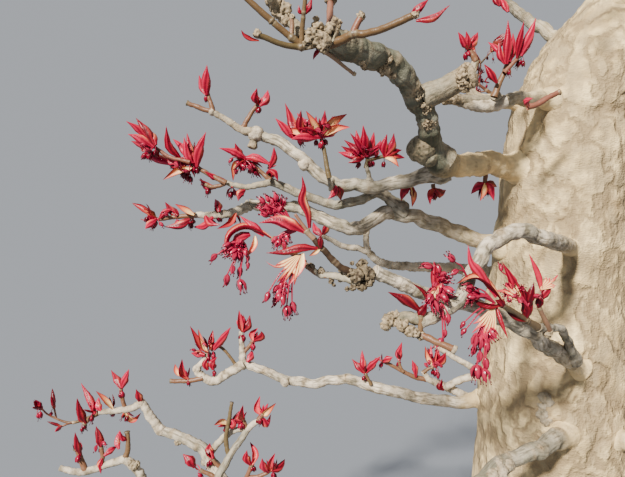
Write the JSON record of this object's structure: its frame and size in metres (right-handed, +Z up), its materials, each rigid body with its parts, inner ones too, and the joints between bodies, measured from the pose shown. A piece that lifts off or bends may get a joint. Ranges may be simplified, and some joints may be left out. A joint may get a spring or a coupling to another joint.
{
  "type": "japanese maple bonsai",
  "caption": "Potless maple bonsai in spring: pale flared trunk cut flat at the ground, gnarled boughs, and open sprays of red unfolding leaves and hanging blossom.",
  "frame": {"origin": "middle of the flat cut at ground level", "axes": "+Z up the trunk; the tree is looked at along +Y, and its long left side points along -X"},
  "size_m": [0.63, 0.4266, 0.7669],
  "materials": {
    "trunk_bark": "smooth pale tan bark with fine wrinkles, dry and matt",
    "bough_bark": "pale grey bark with corky tan ring scars, dry and matt",
    "red_leaf": "thin crimson leaves and blossom, soft satin, on slim red-brown twigs"
  },
  "bodies": {
    "root": {"trunk": "trunk_bark", "bough_back_left": "bough_bark", "bough_back_low": "bough_bark", "bough_back_right": "bough_bark", "bough_crown_back": "bough_bark", "bough_crown_left": "bough_bark", "bough_crown_right": "bough_bark", "bough_front_arch": "bough_bark", "bough_front_low": "bough_bark", "bough_front_lower": "bough_bark", "bough_front_side": "bough_bark", "bough_front_upper": "bough_bark", "bough_left_inner": "bough_bark", "bough_left_low": "bough_bark", "bough_left_mid": "bough_bark", "bough_left_upper": "bough_bark", "bough_low_inner": "bough_bark", "bough_low_left": "bough_bark", "bough_low_right": "bough_bark", "bough_mid_back": "bough_bark", "bough_mid_fore": "bough_bark", "bough_right_front": "bough_bark", "bough_right_low": "bough_bark", "bough_right_mid": "bough_bark", "bough_top_back": "bough_bark", "bough_top_front": "bough_bark", "bough_top_left": "bough_bark", "bough_top_right": "bough_bark", "bough_upper_inner": "bough_bark", "bough_upper_left": "bough_bark", "spray_apex": "red_leaf", "spray_back_left": "red_leaf", "spray_back_low": "red_leaf", "spray_back_right": "red_leaf", "spray_crown_back": "red_leaf", "spray_crown_left": "red_leaf", "spray_crown_right": "red_leaf", "spray_front_arch": "red_leaf", "spray_front_low": "red_leaf", "spray_front_lower": "red_leaf", "spray_front_side": "red_leaf", "spray_front_upper": "red_leaf", "spray_left_inner": "red_leaf", "spray_left_low": "red_leaf", "spray_left_mid": "red_leaf", "spray_left_upper": "red_leaf", "spray_low_inner": "red_leaf", "spray_low_left": "red_leaf", "spray_low_right": "red_leaf", "spray_mid_back": "red_leaf", "spray_mid_fore": "red_leaf", "spray_right_front": "red_leaf", "spray_right_low": "red_leaf", "spray_right_mid": "red_leaf", "spray_top_back": "red_leaf", "spray_top_front": "red_leaf", "spray_top_left": "red_leaf", "spray_top_right": "red_leaf", "spray_upper_inner": "red_leaf", "spray_upper_left": "red_leaf"}
  },
  "joints": []
}
